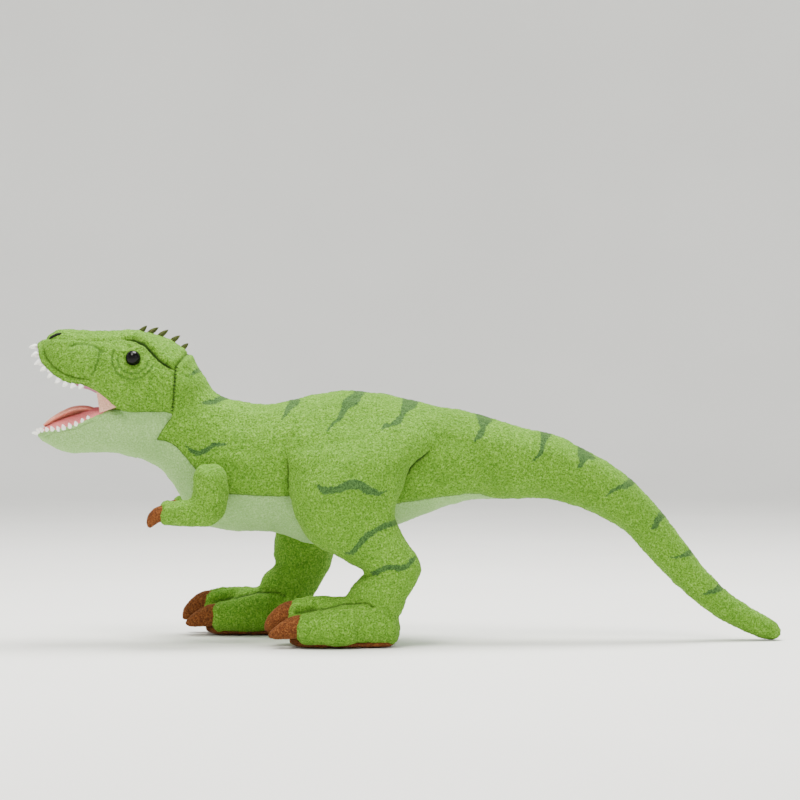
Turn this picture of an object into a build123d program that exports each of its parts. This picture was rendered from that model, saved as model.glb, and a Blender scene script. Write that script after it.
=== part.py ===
"""Stuffed tyrannosaur, half a metre from nose to tail tip, standing in mid stride on two feet and its tail tip.

Frame: +Z up, the nose towards -X, the toy's left side towards -Y, the floor at Z 0, and the origin under the
middle of the bounding box. Millimetres and degrees. Every fabric cover is a shell over its own stuffing.
The parts that bend are bodies of their own. Each turns on a stuffed ball, disc or peg whose surface is round
about the joint's axis, and which sits in a socket that is PLAY wider all round.
"""

from math import atan2, cos, degrees, hypot, radians, sin

from build123d import *
import os

# ---- driving dimensions ----
FABRIC = 2.5  # pile fabric, backing and pile together
THIN_FABRIC = 1.6  # mouth lining and arm covers
PLAY = 1.0  # free space round a turning ball, disc or peg
SPAN = 700.0  # wider than the whole toy, for cutting tools
SIDES = {"left": -1, "right": 1}

# Cross-sections: (x, z, lean of the section's normal, half height, half width)
SPINE = [
    (-160, 148, -25, 33, 28),
    (-135, 131, -27, 38, 31),
    (-121, 119, -28, 45, 36),
    (-98, 115.5, -17, 44.5, 39),
    (-64, 115, -5, 49.5, 43),
    (-38, 115, 0, 51.5, 44),
    (-10, 119.5, 0, 43.5, 40),
    (20, 121.8, -1, 35, 33),
    (50, 122, -4, 27.5, 27),
    (72, 118.5, -10, 24, 24),
    (98, 114, -16, 21, 21),
    (125, 103.5, -28, 17.5, 18),
    (153, 83.5, -43, 14, 15),
    (173, 60.5, -50, 12.2, 12.8),
    (190, 41, -46, 10.8, 11.5),
    (208, 25, -38, 9.3, 10),
    (228, 13, -26, 7.9, 8.6),
    (242, 6.8, -10, 6.6, 6.8),
    (248.8, 5.3, 0, 4.6, 4.8),
]
SKULL = [
    (-138, 165, 0, 15, 19),
    (-150, 167.5, 0, 27, 27),
    (-166, 168, 0, 34.5, 31),
    (-181, 167, 0, 39.5, 32),
    (-201, 170, 0, 36, 29),
    (-221, 176, 0, 30, 24.5),
    (-236, 181.5, 0, 22, 17.5),
    (-244, 184, 0, 11, 8.5),
]
JAW = [
    (-180, 143, 0, 18, 20.5),
    (-211, 143, 0, 18, 21),
    (-226, 141, 0, 16, 16.5),
    (-239, 137.5, 0, 9, 11.5),
    (-247, 136, 0, 5, 6.5),
]
# Seams and edges, as lines in the side view: (x, z)
MOUTH_ROOF = [(-256, 184), (-221, 168), (-201, 158), (-193, 152.5), (-186, 151.5), (-130, 161.5)]
MOUTH_FLOOR = [(-256, 132), (-206, 150), (-130, 150)]
CROWN_SEAM = [(-256, 199), (-228, 203), (-192, 201), (-180, 199), (-157, 181), (-130, 181)]
BELLY_SEAM = [(-200, 140), (-164, 133.5), (-146, 121.5), (-122, 97), (-75, 96), (-8, 90), (60, 97)]

# Joints: the point that each body turns about, and the size of what it turns on
NECK_PIVOT, NECK_LEAN, NECK_BALL = Vector(-145, 0, 140), -26, 39.5
JAW_PIVOT, JAW_DISC, JAW_DISC_HALF = Vector(-188, 0, 150), 28.0, 24.5
TAIL_PIVOT, TAIL_LEAN, TAIL_BALL = Vector(50, 0, 122), -4, 31.0
TIP_PIVOT, TIP_LEAN, TIP_BALL = Vector(150, 0, 86), -42, 18.0
HIP_X, HIP_Y, HIP_Z, THIGH_DISC, THIGH_HALF = -37.0, 40.0, 113.0, 41.0, 23.0
SHOULDER_X, SHOULDER_Y, SHOULDER_Z = -128.0, 47.0, 106.0
PEG_RADIUS, PEG_END = 6.0, 29.0  # the arm's root, sewn into the chest
CUSHION_FLAT = 0.3  # the share of a disc's radius that is flat
LEG_SWING = 10.0
WELL_WIDTH, WELL_REACH = 70.0, 75.0  # the fan under each hip that its shank swings in

# Legs: the hock's place sets each leg's stride
HOCK_X = {"left": -9.0, "right": -70.0}
HOCK_Z, SHANK_Y, FOOT_Y, LEG_SEAM_Y = 51.0, 43.0, 45.0, 42.0
SOLE_THICKNESS, SOLE_LENGTH, SOLE_WIDTH = 2.5, 62.0, 31.0
# Shank: (share of the way from hip to hock, half height, half width)
SHANK = [(0.15, 22, 14), (0.45, 27, 19), (0.72, 21.5, 18)]
# From the hock to the foot: (x from the hock, z, lean, half height, half width)
ANKLE = [(-9.5, 31, -116, 18.5, 16.5), (-17, 15, -116, 11, 11)]
HOCK_HALF_HEIGHT, HOCK_HALF_WIDTH = 18.5, 16.5
FOOT = [
    (2, 13, 180, 11, 10),
    (-10, 14, 180, 17, 15),
    (-32, 14, 180, 18, 19),
    (-54, 14, 180, 16.5, 20.5),
    (-66, 15, 180, 12.5, 17),
]
CLAW = [(-62, 18, 180, 7.5, 5.6), (-72, 15.5, 205, 6.2, 5), (-82, 8, 222, 2.6, 2)]
TOE_SPACING, MIDDLE_LEAD = 13.0, 5.0

# Arms, from the shoulder round the elbow to the wrist
ARM = [
    (-128.5, 116.5, -90, 6, 6),
    (-128, 111, -90, 10, 10),
    (-128, 101, -91, 11, 11.5),
    (-128.8, 88.8, -135, 11.3, 11),
    (-141, 87, -180, 9.3, 9.8),
    (-154, 86.5, -180, 8.3, 8.6),
    (-160, 86, -180, 5.5, 6),
]
FINGER = [(-156, 86, -172, 5.2, 3.6), (-162.5, 84, -150, 4.2, 3), (-167.5, 78.5, -125, 1.4, 1.1)]
FINGER_SPACING = 8.0

# Head furniture
EYE_RADIUS, EYE_X, EYE_Y, EYE_Z, EYE_UP = 5.0, -180.0, 27.0, 187.5, 20.0
SHANK_RADIUS, SHANK_LENGTH = 1.8, 11.0
WASHER_RADIUS, WASHER_THICKNESS, WASHER_DEPTH = 5.5, 1.5, 4.0
TOOTH_LENGTH, TOOTH_HALF, TOOTH_THICKNESS, UPPER_TEETH, LOWER_TEETH = 6.5, 1.7, 1.6, 9, 7
CREST_SCALES, SCALE_LENGTH, SCALE_THICKNESS = 5, 6.5, 1.6
NOSTRIL_X, NOSTRIL_Y, NOSTRIL_Z, NOSTRIL_LENGTH, THREAD_RADIUS = -233.0, 10.6, 202.0, 8.0, 1.1


# ---- tools ----
def across(x, z, lean, y=0.0):
    """The plane across a limb at a point: its normal leans from +X, and its own x points out to the side."""
    normal = (cos(radians(lean)), 0, sin(radians(lean)))
    return Plane(origin=(x, y, z), x_dir=(0, -1 if y < 0 else 1, 0), z_dir=normal)


def form(sections, shrink=0.0, x=0.0, y=0.0):
    """A smooth solid through elliptic cross-sections, made smaller by shrink all round and at both ends."""
    rows = [list(row) for row in sections]
    for end, beside in ((0, 1), (-1, -2)):
        dx, dz = rows[beside][0] - rows[end][0], rows[beside][1] - rows[end][1]
        rows[end][0] += dx / hypot(dx, dz) * shrink
        rows[end][1] += dz / hypot(dx, dz) * shrink
    with BuildPart() as made:
        for from_x, z, lean, half_height, half_width in rows:
            with BuildSketch(across(x + from_x, z, lean, y)):
                Ellipse(half_width - shrink, half_height - shrink)
        loft()
    return made.part


def beyond(plane):
    """Everything on the side that the plane's normal points to."""
    with BuildPart(plane) as made:
        Box(SPAN, SPAN, SPAN, align=(Align.CENTER, Align.CENTER, Align.MIN))
    return made.part


def side_zone(line, far_z):
    """Everything between a line drawn in the side view and a far height."""
    with BuildPart() as made:
        with BuildSketch(Plane.XZ):
            with BuildLine():
                Polyline(*line, (line[-1][0], far_z), (line[0][0], far_z), close=True)
            make_face()
        extrude(amount=SPAN / 2, both=True)
    return made.part


def ball(centre, radius):
    """A sphere about a joint."""
    with BuildPart() as made:
        with Locations(centre):
            Sphere(radius)
    return made.part


def disc(centre, radius, half_width):
    """A cushion, round about an axis along Y and well rounded at its rim."""
    flat = radius * CUSHION_FLAT
    with BuildPart() as made:
        with BuildSketch(Plane(origin=centre, x_dir=(1, 0, 0), z_dir=(0, 0, 1))):
            with BuildLine():
                rim = EllipticalCenterArc((flat, 0), radius - flat, half_width, start_angle=-90, arc_size=180)
                Polyline(rim @ 1, (0, half_width), (0, -half_width), rim @ 0)
            make_face()
        revolve(axis=Axis(centre, (0, 1, 0)))
    return made.part


def peg(sign, radius, start, end):
    """A cylinder along the shoulder's axis, between two distances from the middle plane."""
    root = Plane(origin=(SHOULDER_X, sign * start, SHOULDER_Z), z_dir=(0, sign, 0))
    with BuildPart(root) as made:
        Cylinder(radius, end - start, align=(Align.CENTER, Align.CENTER, Align.MIN))
    return made.part


def joined(*solids):
    """Solids sewn into one."""
    with BuildPart() as made:
        for solid in solids:
            add(solid)
    return made.part


def trimmed(base, cut=(), within=()):
    """A solid less every cut, and inside every limit."""
    with BuildPart() as made:
        add(base)
        for tool in cut:
            add(tool, mode=Mode.SUBTRACT)
        for tool in within:
            add(tool, mode=Mode.INTERSECT)
    return made.part


def keep(name, part):
    """Names a finished piece and writes it as one node."""
    part.label = name
    export_step(part, f"parts/{name}.step")
    print(name, len(part.solids()), round(part.volume))


# ---- shared solids ----
os.makedirs("parts", exist_ok=True)
HALVES = {side: beyond(Plane(origin=(0, 0, 0), z_dir=(0, sign, 0))) for side, sign in SIDES.items()}
NECK_PLANE = across(NECK_PIVOT.X, NECK_PIVOT.Z, NECK_LEAN)
TAIL_PLANE = across(TAIL_PIVOT.X, TAIL_PIVOT.Z, TAIL_LEAN)
TIP_PLANE = across(TIP_PIVOT.X, TIP_PIVOT.Z, TIP_LEAN)
BELLY = side_zone(BELLY_SEAM, -50)
MOUTH = side_zone(MOUTH_ROOF, -50)
ABOVE_JAW = side_zone(MOUTH_FLOOR, SPAN)
CROWN = side_zone(CROWN_SEAM, SPAN)
BODY, BODY_STUFFING = form(SPINE), form(SPINE, FABRIC)
HEAD, HEAD_STUFFING = form(SKULL), form(SKULL, FABRIC)
JAW_SPACE = disc(JAW_PIVOT, JAW_DISC + PLAY, JAW_DISC_HALF + PLAY)


# ---- torso ----
def leg_well(side):
    """The socket of a thigh disc and the fan below it that the shank swings in."""
    sign = SIDES[side]
    run = degrees(atan2(HOCK_Z - HIP_Z, HOCK_X[side] - HIP_X))
    turns = [radians(run + turn) for turn in (-40 - LEG_SWING, 0, 40 + LEG_SWING)]
    rim = [(HIP_X + WELL_REACH * cos(turn), HIP_Z + WELL_REACH * sin(turn)) for turn in turns]
    centre_y = sign * (HIP_Y - THIGH_HALF - PLAY + WELL_WIDTH / 2)
    with BuildPart() as made:
        add(disc(Vector(HIP_X, sign * HIP_Y, HIP_Z), THIGH_DISC + PLAY, THIGH_HALF + PLAY))
        with BuildSketch(Plane.XZ.offset(-centre_y)):
            with BuildLine():
                Polyline((HIP_X, HIP_Z), *rim, close=True)
            make_face()
        extrude(amount=WELL_WIDTH / 2, both=True)
    return made.part


def torso():
    """Chest, belly and hips: two side panels that meet along the spine, the belly panel and the stuffing."""
    cuts = [ball(NECK_PIVOT, NECK_BALL + PLAY), ball(TAIL_PIVOT, TAIL_BALL + PLAY)]
    for side, sign in SIDES.items():
        cuts.append(leg_well(side))
        cuts.append(peg(sign, PEG_RADIUS + PLAY, PEG_END - PLAY, SHOULDER_Y))
    limits = [beyond(NECK_PLANE), beyond(-TAIL_PLANE)]
    stuffing = trimmed(BODY_STUFFING, cuts, limits)
    cover = trimmed(BODY, [*cuts, BODY_STUFFING], limits)
    keep("torso_stuffing", stuffing)
    keep("belly_panel", trimmed(cover, within=[BELLY]))
    for side, half in HALVES.items():
        keep(f"torso_panel_{side}", trimmed(cover, [BELLY], [half]))


# ---- neck and upper head ----
def eye_set(side):
    """A moulded eye with its shank, the lock washer pushed on it, and the spaces that they take."""
    sign = SIDES[side]
    outward = (0, sign * cos(radians(EYE_UP)), sin(radians(EYE_UP)))
    plane = Plane(origin=(EYE_X, sign * EYE_Y, EYE_Z), x_dir=(1, 0, 0), z_dir=outward)
    inward = (Align.CENTER, Align.CENTER, Align.MAX)
    washer_plane = plane.offset(-EYE_RADIUS - WASHER_DEPTH + WASHER_THICKNESS)
    with BuildPart(plane) as eye:
        Sphere(EYE_RADIUS)
        Cylinder(SHANK_RADIUS, SHANK_LENGTH, align=inward)
    with BuildPart(washer_plane) as washer:
        Cylinder(WASHER_RADIUS, WASHER_THICKNESS, align=inward)
        Cylinder(SHANK_RADIUS, WASHER_THICKNESS, align=inward, mode=Mode.SUBTRACT)
    return {"eye": eye.part, "washer": washer.part}


def neck_and_head():
    """The neck, whose rear is the ball of the neck joint, and the upper head that is sewn to it."""
    sets = {side: eye_set(side) for side in SIDES}
    eyes = [made["eye"] for made in sets.values()]
    washers = [made["washer"] for made in sets.values()]
    head = trimmed(HEAD, [MOUTH, JAW_SPACE, *eyes])
    zone = joined(beyond(-NECK_PLANE), ball(NECK_PIVOT, NECK_BALL))
    keep("neck_stuffing", trimmed(BODY_STUFFING, [HEAD, JAW_SPACE], [zone]))
    neck = trimmed(BODY, [BODY_STUFFING, HEAD, JAW_SPACE], [zone])
    keep("throat_panel", trimmed(neck, within=[BELLY]))
    for side, half in HALVES.items():
        keep(f"neck_panel_{side}", trimmed(neck, [BELLY], [half]))

    cover = trimmed(head, [HEAD_STUFFING])
    keep("crown_panel", trimmed(cover, within=[CROWN]))
    for side, half in HALVES.items():
        keep(f"head_panel_{side}", trimmed(cover, [CROWN], [half]))
    lined_mouth = MOUTH.moved(Location((0, 0, THIN_FABRIC)))
    filling = trimmed(HEAD_STUFFING, [MOUTH, JAW_SPACE, *eyes, *washers])
    keep("palate", trimmed(filling, within=[lined_mouth]))
    keep("head_stuffing", trimmed(filling, [lined_mouth]))
    for side, made in sets.items():
        keep(f"eye_{side}", made["eye"])
        keep(f"eye_washer_{side}", made["washer"])


def nostrils():
    """A short line of black thread sewn through each side of the snout."""
    with BuildPart() as stitches:
        for sign in (-1, 1):
            with Locations(Plane(origin=(NOSTRIL_X, sign * NOSTRIL_Y, NOSTRIL_Z), z_dir=(1, 0, 0.35)).location):
                Cylinder(THREAD_RADIUS, NOSTRIL_LENGTH)
        add(HEAD, mode=Mode.SUBTRACT)
    keep("nostril_stitches", stitches.part)


def crest():
    """The dark fabric scales sewn in a row into the crown, leaning back."""
    with BuildPart() as scales:
        for i in range(CREST_SCALES):
            with BuildSketch(Plane.XZ):
                with Locations((-177 + 7.2 * i, 206.5 - 0.62 * i**2 - 0.4 * i)):
                    Ellipse(SCALE_LENGTH / 2, 2.4, rotation=20 - 13 * i)
            extrude(amount=SCALE_THICKNESS / 2, both=True)
        add(HEAD, mode=Mode.SUBTRACT)
        add(BODY, mode=Mode.SUBTRACT)
    keep("crest_scales", scales.part)


# ---- teeth ----
def on_line(line, x):
    """The height of a side-view line at x."""
    for (x0, z0), (x1, z1) in zip(line, line[1:]):
        if x0 <= x <= x1:
            return z0 + (z1 - z0) * (x - x0) / (x1 - x0)
    return line[-1][1]


def half_width_at(sections, x, z):
    """The half width of a form of upright sections at a point of its side view."""
    rows = sorted(sections)
    for near, far in zip(rows, rows[1:]):
        if near[0] <= x <= far[0]:
            share = (x - near[0]) / (far[0] - near[0])
            centre, half_height, half_width = (near[i] + (far[i] - near[i]) * share for i in (1, 3, 4))
            lift = min(0.99, abs(z - centre) / half_height)
            return half_width * (1 - lift**2) ** 0.5
    return 0.0


def on_edge(sections, line, x, inset, sign):
    """The point on a jaw's edge at x, a little inside its surface."""
    z = on_line(line, x)
    return Vector(x, sign * (half_width_at(sections, x, z) - inset), z)


def teeth(name, sections, line, front_x, back_x, count, inset, up, cuts):
    """A row of felt teeth, each a small pointed flap, round the edge of a jaw, the same on both sides."""
    with BuildPart() as row:
        for i in range(count):
            x = front_x + (back_x - front_x) * (i / (count - 1)) ** 1.25
            ahead = -0.8 * max(0.0, 1 - 2.2 * i / count)
            for sign in (-1, 1):
                near, far = (on_edge(sections, line, x + step, inset, sign) for step in (-1, 1))
                root = on_edge(sections, line, x, inset, sign) - Vector(0, 0, 0.8 * up)
                along, out = far - near, Vector(ahead, sign * 0.2, up)
                with BuildSketch(Plane(origin=root, x_dir=along, z_dir=along.cross(out))):
                    Polygon((-TOOTH_HALF, 0), (TOOTH_HALF, 0), (0, TOOTH_LENGTH), align=None)
                extrude(amount=TOOTH_THICKNESS / 2, both=True)
        for tool in cuts:
            add(tool, mode=Mode.SUBTRACT)
    keep(name, row.part)


# ---- lower jaw ----
def jaw():
    """The lower jaw: pale cover, stuffing, pink lining and tongue. Its rear is the disc that it turns on."""
    outer = joined(form(JAW), disc(JAW_PIVOT, JAW_DISC, JAW_DISC_HALF))
    inner = joined(form(JAW, FABRIC), disc(JAW_PIVOT, JAW_DISC - FABRIC, JAW_DISC_HALF - FABRIC))
    lined = ABOVE_JAW.moved(Location((0, 0, -THIN_FABRIC)))
    keep("jaw_panel", trimmed(outer, [inner, ABOVE_JAW]))
    keep("mouth_floor", trimmed(inner, [ABOVE_JAW], [lined]))
    keep("jaw_stuffing", trimmed(inner, [lined]))
    with BuildPart() as tongue:
        with BuildSketch(Plane.XZ):
            with BuildLine():
                top = Spline((-238, 139.5), (-229, 145.5), (-217, 150), (-204, 152.5), (-197, 150))
                Line(top @ 1, top @ 0)
            make_face()
        extrude(amount=9, both=True)
        add(ABOVE_JAW, mode=Mode.INTERSECT)
    keep("tongue", tongue.part)


# ---- limbs ----
def arm(side):
    """A short bent arm: cover, stuffing with the peg that is sewn into the chest, and two claws."""
    sign = SIDES[side]
    y = sign * SHOULDER_Y
    outer = form(ARM, 0, 0, y)
    root = peg(sign, PEG_RADIUS, PEG_END, SHOULDER_Y - 2)
    stuffing = joined(form(ARM, THIN_FABRIC, 0, y), root)
    keep(f"arm_cover_{side}", trimmed(outer, [stuffing]))
    keep(f"arm_stuffing_{side}", stuffing)
    offsets = (-FINGER_SPACING / 2, FINGER_SPACING / 2)
    fingers = joined(*[form(FINGER, 0, 0, y + offset) for offset in offsets])
    keep(f"arm_claws_{side}", trimmed(fingers, [outer]))


def leg(side):
    """One hind leg: a thigh disc, a shank and a foot, sewn from an outer and an inner panel over a sole."""
    sign, hock_x = SIDES[side], HOCK_X[side]
    lean = degrees(atan2(HOCK_Z - HIP_Z, hock_x - HIP_X))
    shank = [
        ((HIP_X - hock_x) * (1 - share), HIP_Z + (HOCK_Z - HIP_Z) * share, lean, half_height, half_width)
        for share, half_height, half_width in SHANK
    ]
    hock = (0, HOCK_Z, (lean + ANKLE[0][2]) / 2, HOCK_HALF_HEIGHT, HOCK_HALF_WIDTH)
    under = beyond(Plane(origin=(0, 0, SOLE_THICKNESS), z_dir=(0, 0, -1)))
    forms = []
    for shrink in (0.0, FABRIC):
        thigh = disc(Vector(HIP_X, sign * HIP_Y, HIP_Z), THIGH_DISC - shrink, THIGH_HALF - shrink)
        lower = form([*shank, hock, *ANKLE], shrink, hock_x, sign * SHANK_Y)
        foot = form(FOOT, shrink, hock_x, sign * FOOT_Y)
        forms.append(trimmed(joined(thigh, lower, foot), [under]))
    whole, stuffing = forms
    seam = Plane(origin=(0, sign * LEG_SEAM_Y, 0), z_dir=(0, sign, 0))
    keep(f"leg_outer_panel_{side}", trimmed(whole, [beyond(-seam), stuffing]))
    keep(f"leg_inner_panel_{side}", trimmed(whole, [beyond(seam), stuffing]))
    keep(f"leg_stuffing_{side}", stuffing)

    with BuildPart() as sole:
        with BuildSketch():
            with Locations((hock_x - SOLE_LENGTH / 2 - 1, sign * FOOT_Y)):
                Ellipse(SOLE_LENGTH / 2, SOLE_WIDTH / 2)
        extrude(amount=SOLE_THICKNESS)
    keep(f"sole_{side}", sole.part)
    claws = []
    for toe in (-1, 0, 1):
        lead = 0.0 if toe else MIDDLE_LEAD
        claws.append(form(CLAW, 0, hock_x - lead, sign * FOOT_Y + toe * TOE_SPACING))
    keep(f"toe_claws_{side}", trimmed(joined(*claws), [whole]))


# ---- tail ----
def tail():
    """The tail's root and tip, two side panels over stuffing each, both turning on a ball of stuffing."""
    root_zone = joined(beyond(TAIL_PLANE), ball(TAIL_PIVOT, TAIL_BALL))
    tip_zone = joined(beyond(TIP_PLANE), ball(TIP_PIVOT, TIP_BALL))
    before_tip = beyond(-TIP_PLANE)
    tip_socket = ball(TIP_PIVOT, TIP_BALL + PLAY)
    root_stuffing = trimmed(BODY_STUFFING, [tip_socket], [root_zone, before_tip])
    root_cover = trimmed(BODY, [tip_socket, BODY_STUFFING], [root_zone, before_tip])
    tip_stuffing = trimmed(BODY_STUFFING, within=[tip_zone])
    tip_cover = trimmed(BODY, [BODY_STUFFING], [tip_zone])
    keep("tail_stuffing", root_stuffing)
    keep("tail_tip_stuffing", tip_stuffing)
    for side, half in HALVES.items():
        keep(f"tail_panel_{side}", trimmed(root_cover, within=[half]))
        keep(f"tail_tip_panel_{side}", trimmed(tip_cover, within=[half]))


torso()
neck_and_head()
nostrils()
crest()
teeth("upper_teeth", SKULL, MOUTH_ROOF, -242.5, -203.0, UPPER_TEETH, 2.5, -1, [trimmed(HEAD, [MOUTH])])
jaw()
teeth("lower_teeth", JAW, MOUTH_FLOOR, -244.5, -214.0, LOWER_TEETH, 2.0, 1, [trimmed(form(JAW), [ABOVE_JAW])])
tail()
for side in SIDES:
    arm(side)
    leg(side)
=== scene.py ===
"""Looks of the stuffed tyrannosaur: its sewn skin, felt, thread and plastic on the CAD frame.

Shape numbers are in millimetres in the part's own frame and are turned into metres when a mesh is made.
"""

import math

import bpy
import numpy as np
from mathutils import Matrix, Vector
from mathutils.bvhtree import BVHTree
from mathutils.kdtree import KDTree


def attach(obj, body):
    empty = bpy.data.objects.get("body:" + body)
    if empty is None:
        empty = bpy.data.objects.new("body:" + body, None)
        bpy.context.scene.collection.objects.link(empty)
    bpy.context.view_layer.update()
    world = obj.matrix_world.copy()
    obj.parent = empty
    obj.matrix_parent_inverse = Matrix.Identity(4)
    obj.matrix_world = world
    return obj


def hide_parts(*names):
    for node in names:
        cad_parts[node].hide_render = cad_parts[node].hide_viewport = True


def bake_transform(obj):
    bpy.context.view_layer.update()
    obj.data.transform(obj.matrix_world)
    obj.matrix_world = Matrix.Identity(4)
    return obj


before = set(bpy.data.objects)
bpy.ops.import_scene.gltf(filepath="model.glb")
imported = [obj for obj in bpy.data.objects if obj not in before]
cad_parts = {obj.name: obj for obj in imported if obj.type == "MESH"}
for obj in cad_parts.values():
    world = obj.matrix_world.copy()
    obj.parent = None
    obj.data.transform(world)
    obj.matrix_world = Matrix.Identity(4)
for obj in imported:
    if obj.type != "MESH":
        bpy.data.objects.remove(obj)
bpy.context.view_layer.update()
MM = 0.001
SIDES = {"left": -1, "right": 1}
rng = np.random.default_rng(7)


def linked(name, data):
    """A new object in the scene."""
    made = bpy.data.objects.new(name, data)
    bpy.context.scene.collection.objects.link(made)
    return made


# ---- camera ----
camera = linked("camera", bpy.data.cameras.new("camera"))
camera.location = (-0.005, -1.67, 0.16)
camera.rotation_euler = (math.radians(90), 0, 0)
camera.data.sensor_width = 36
camera.data.lens = 112.8
bpy.context.scene.camera = camera

# ---- shape numbers: (x, z, lean of the section's normal, half height, half width[, y]) ----
SPINE = [
    (-156, 146.8, -18.6, 31.4, 28), (-135.4, 128.8, -27.3, 35.7, 31), (-120, 118, -28, 44, 36),
    (-98, 115.5, -17, 44.5, 39), (-82, 117, -10, 45.5, 41.5), (-64, 115, -5, 49.5, 43),
    (-38, 115, 0, 51.5, 44), (-10, 119.5, 0, 43.5, 40), (20, 121.8, -1, 35, 33), (50, 122, -4, 27.5, 27),
    (72, 118.5, -10, 24, 24), (98, 114, -16, 21, 21), (125, 103.5, -28, 17.5, 18),
    (153, 83.5, -43, 14, 15), (173, 60.5, -50, 12.2, 12.8), (190, 41, -46, 10.8, 11.5),
    (208, 25, -38, 9.3, 10), (228, 13, -26, 7.9, 8.6), (240, 7.5, -14, 6.9, 7.2), (246, 5.8, -5, 5.0, 5.2),
    (248.5, 5.2, 0, 2.2, 2.4),
]
SKULL = [
    (-132, 160, 0, 10, 12), (-138, 161, 0, 19, 20), (-146, 164, 0, 26.5, 26), (-154, 166, 0, 31.5, 29),
    (-166, 168, 0, 35, 31), (-181, 167, 0, 39.5, 32), (-201, 170, 0, 36, 29.5), (-221, 176.3, 0, 30.6, 25),
    (-231, 180.6, 0, 26.6, 21.5), (-237, 183.8, 0, 20.8, 17.5), (-242, 187.2, 0, 13.2, 12.5),
    (-245.3, 189.4, 0, 9, 8.8), (-247.2, 191, 0, 5, 5),
]
JAW = [
    (-158, 140, 0, 22, 26), (-168, 139.5, 0, 22.5, 27.5), (-181, 141.5, 0, 20.5, 27),
    (-196, 143, 0, 18.5, 25), (-211, 143, 0, 18, 22.5), (-226, 141, 0, 16, 17.5),
    (-237, 139, 0, 9.6, 12.5), (-243, 138.6, 0, 5.6, 8.5), (-246, 138, 0, 2.6, 4),
]
ROOF = [
    (-262, 206), (-247.5, 198), (-245, 191), (-243, 185), (-236.5, 178.5), (-228, 172.8), (-219.5, 170),
    (-210.7, 168.9), (-203, 165.2), (-197, 160.6), (-192.5, 156.8), (-187, 152.4), (-180, 149),
    (-150, 149),
]
FLOOR = [
    (-262, 137.5), (-246, 138.6), (-243, 139.6), (-229, 141.6), (-217, 145), (-210, 148.4), (-204, 151.5),
    (-200.5, 154), (-196, 155.4), (-190, 157), (-150, 157),
]
ROOF_BOW = [(-247, 1), (-224, 0), (-213, -2), (-205, -2.5), (-198, -0.5), (-190, 0)]
FLOOR_BOW = [(-247, 0), (-240, -3), (-228, -7), (-210, -6.5), (-200, -2), (-192, 0)]
HOCK_X = {"left": -9.0, "right": -70.0}


# ---- mesh tools ----
def smooth_through(rows, step):
    """Rows of numbers, resampled at even steps along a smooth line through them."""
    rows = np.array(rows, float)
    at = np.concatenate([[0], np.cumsum(np.hypot(*np.diff(rows[:, :2], axis=0).T))])
    slope = np.gradient(rows, at, axis=0)
    t = np.linspace(0, at[-1], max(3, int(at[-1] / step) + 2))
    i = np.clip(np.searchsorted(at, t, side="right") - 1, 0, len(at) - 2)
    h = (at[i + 1] - at[i])[:, None]
    u = (t - at[i])[:, None] / h
    first = rows[i] * (2 * u**3 - 3 * u**2 + 1) + slope[i] * h * (u**3 - 2 * u**2 + u)
    return first + rows[i + 1] * (3 * u**2 - 2 * u**3) + slope[i + 1] * h * (u**3 - u**2)


def ring_faces(rings, around):
    """The faces of a closed form: rings of points, then one point for its first end and one for its last."""
    k = np.arange(around)
    k2 = (k + 1) % around
    faces = []
    for i in range(0, (rings - 1) * around, around):
        faces += np.stack([i + k, i + k2, i + around + k2, i + around + k], 1).tolist()
    first, last = rings * around, (rings - 1) * around
    faces += [[first, b, a] for a, b in zip(k, k2)]
    return faces + [[first + 1, last + a, last + b] for a, b in zip(k, k2)]


def tube(rows, step=2.0, around=56, power=2.0, low=None, high=None, bows=((0, 0), (1, 0))):
    """A closed tube through elliptic sections, flattened from below at low or from above at high."""
    if len(rows[0]) == 5:
        rows = [(*row, 0.0) for row in rows]
    rows = smooth_through(rows, step)
    turn = np.linspace(0, 2 * np.pi, around, endpoint=False)
    c, s = np.cos(turn), np.sin(turn)
    c, s = np.sign(c) * np.abs(c) ** (2 / power), np.sign(s) * np.abs(s) ** (2 / power)
    x, z, lean, hh, hw, y = (rows[:, i : i + 1] for i in range(6))
    lean = np.radians(lean)
    points = np.stack([x - np.sin(lean) * hh * s, y + hw * c, z + np.cos(lean) * hh * s], axis=-1)
    if low is not None or high is not None:
        lx, lz = np.array(low or high).T
        line = np.interp(points[..., 0], lx, lz)
        arch = np.interp(points[..., 0], *np.array(bows, float).T)
        bow = arch * np.clip(1 - (points[..., 1] / np.maximum(hw - 2, 1)) ** 2, 0, 1)
        if low is not None:
            points[..., 2] = np.maximum(points[..., 2], line + bow)
        else:
            points[..., 2] = np.minimum(points[..., 2], line - bow)
    ends = points[[0, -1]].mean(1)
    return np.concatenate([points.reshape(-1, 3), ends]), ring_faces(len(rows), around)



def merged(parts):
    """Several (verts, faces) as one."""
    verts, faces, base = [], [], 0
    for v, f in parts:
        verts.append(v)
        faces += [[i + base for i in face] for face in f]
        base += len(v)
    return np.concatenate(verts), faces


def as_mesh(name, verts, faces):
    """A mesh in metres from millimetres."""
    mesh = bpy.data.meshes.new(name)
    faces = faces.tolist() if isinstance(faces, np.ndarray) else faces
    mesh.from_pydata((np.asarray(verts, float) * MM).tolist(), [], faces)
    mesh.update()
    return mesh


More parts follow.
